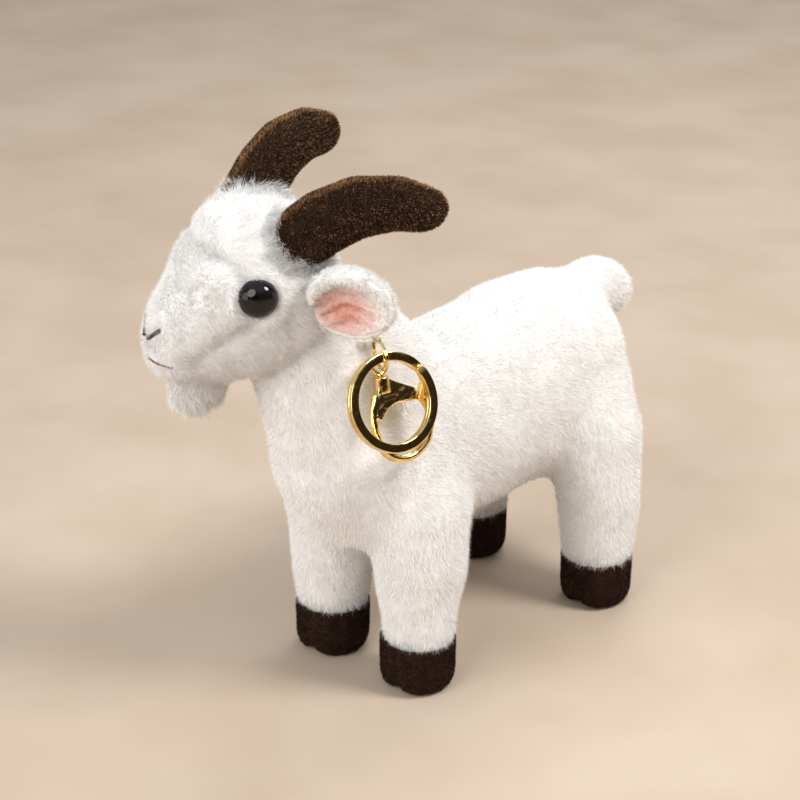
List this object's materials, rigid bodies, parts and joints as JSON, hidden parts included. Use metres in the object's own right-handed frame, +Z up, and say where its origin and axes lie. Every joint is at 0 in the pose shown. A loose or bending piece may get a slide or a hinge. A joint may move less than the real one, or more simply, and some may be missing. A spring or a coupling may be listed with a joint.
{
  "type": "plush goat keychain",
  "caption": "Small stuffed plush goat that stands on its hooves, with a split ring and a snap clasp hanging from a loop on its neck.",
  "frame": {"origin": "under the middle of the goat's box, on the plane that its soles stand on", "axes": "+Z up, -Y the way the body faces, +X the goat's left"},
  "size_m": [0.0695, 0.1728, 0.1553],
  "materials": {
    "white_plush": "matte",
    "brown_plush": "matte",
    "brown_felt": "matte",
    "pink_plush": "matte",
    "fibre_fill": "matte",
    "black_eye": "gloss",
    "washer_plastic": "matte",
    "dark_thread": "matte",
    "white_thread": "matte",
    "gold_metal": "polished",
    "steel": "satin"
  },
  "bodies": {
    "goat": {"body_skin_left": "white_plush", "body_skin_right": "white_plush", "belly_panel": "white_plush", "body_stuffing": "fibre_fill", "front_left_leg_skin": "white_plush", "front_right_leg_skin": "white_plush", "rear_left_leg_skin": "white_plush", "rear_right_leg_skin": "white_plush", "front_left_leg_stuffing": "fibre_fill", "front_right_leg_stuffing": "fibre_fill", "rear_left_leg_stuffing": "fibre_fill", "rear_right_leg_stuffing": "fibre_fill", "front_left_hoof": "brown_plush", "front_right_hoof": "brown_plush", "rear_left_hoof": "brown_plush", "rear_right_hoof": "brown_plush", "front_left_sole": "brown_felt", "front_right_sole": "brown_felt", "rear_left_sole": "brown_felt", "rear_right_sole": "brown_felt", "tail_skin": "white_plush", "tail_stuffing": "fibre_fill", "head_skin_left": "white_plush", "head_skin_right": "white_plush", "forehead_gusset": "white_plush", "chin_panel": "white_plush", "head_stuffing": "fibre_fill", "beard": "white_plush", "left_horn_skin": "brown_plush", "right_horn_skin": "brown_plush", "left_horn_stuffing": "fibre_fill", "right_horn_stuffing": "fibre_fill", "left_ear_back": "white_plush", "right_ear_back": "white_plush", "left_ear_lining": "pink_plush", "right_ear_lining": "pink_plush", "left_eye": "black_eye", "right_eye": "black_eye", "left_eye_washer": "washer_plastic", "right_eye_washer": "washer_plastic", "nostril_stitches": "dark_thread", "mouth_stitches": "dark_thread", "sewn_loop": "white_thread"},
    "link": {"link": "gold_metal"},
    "clasp_swivel": {"clasp_eye": "gold_metal"},
    "split_ring": {"split_ring": "gold_metal"},
    "clasp": {"clasp_body": "gold_metal", "trigger_pin": "steel", "trigger_spring": "steel"},
    "trigger": {"clasp_trigger": "gold_metal"}
  },
  "joints": [
    {"name": "link_swing", "type": "hinge", "parent": "goat", "child": "link", "pos_m": [0.01675, -0.04356, 0.10462], "axis": [-0.2419, -0.9703, 0], "range_deg": [0, 35]},
    {"name": "clasp_swing", "type": "hinge", "parent": "link", "child": "clasp_swivel", "pos_m": [0.01917, -0.04416, 0.10073], "axis": [-0.2419, -0.9703, 0], "range_deg": [0, 35]},
    {"name": "ring_swing", "type": "hinge", "parent": "clasp_swivel", "child": "split_ring", "pos_m": [0.01917, -0.04416, 0.10073], "axis": [-0.2419, -0.9703, 0], "range_deg": [0, 35]},
    {"name": "clasp_turn", "type": "hinge", "parent": "clasp_swivel", "child": "clasp", "pos_m": [0.01834, -0.04396, 0.09833], "axis": [-0.2511, 0.0626, 0.9659], "range_deg": [-4, 8]},
    {"name": "trigger_press", "type": "hinge", "parent": "clasp", "child": "trigger", "pos_m": [0.02231, -0.03742, 0.08983], "axis": [-0.9372, 0.2337, -0.2588], "range_deg": [0, 20], "stiffness_Nm_per_rad": 0.00004, "springref_deg": -17.19}
  ]
}
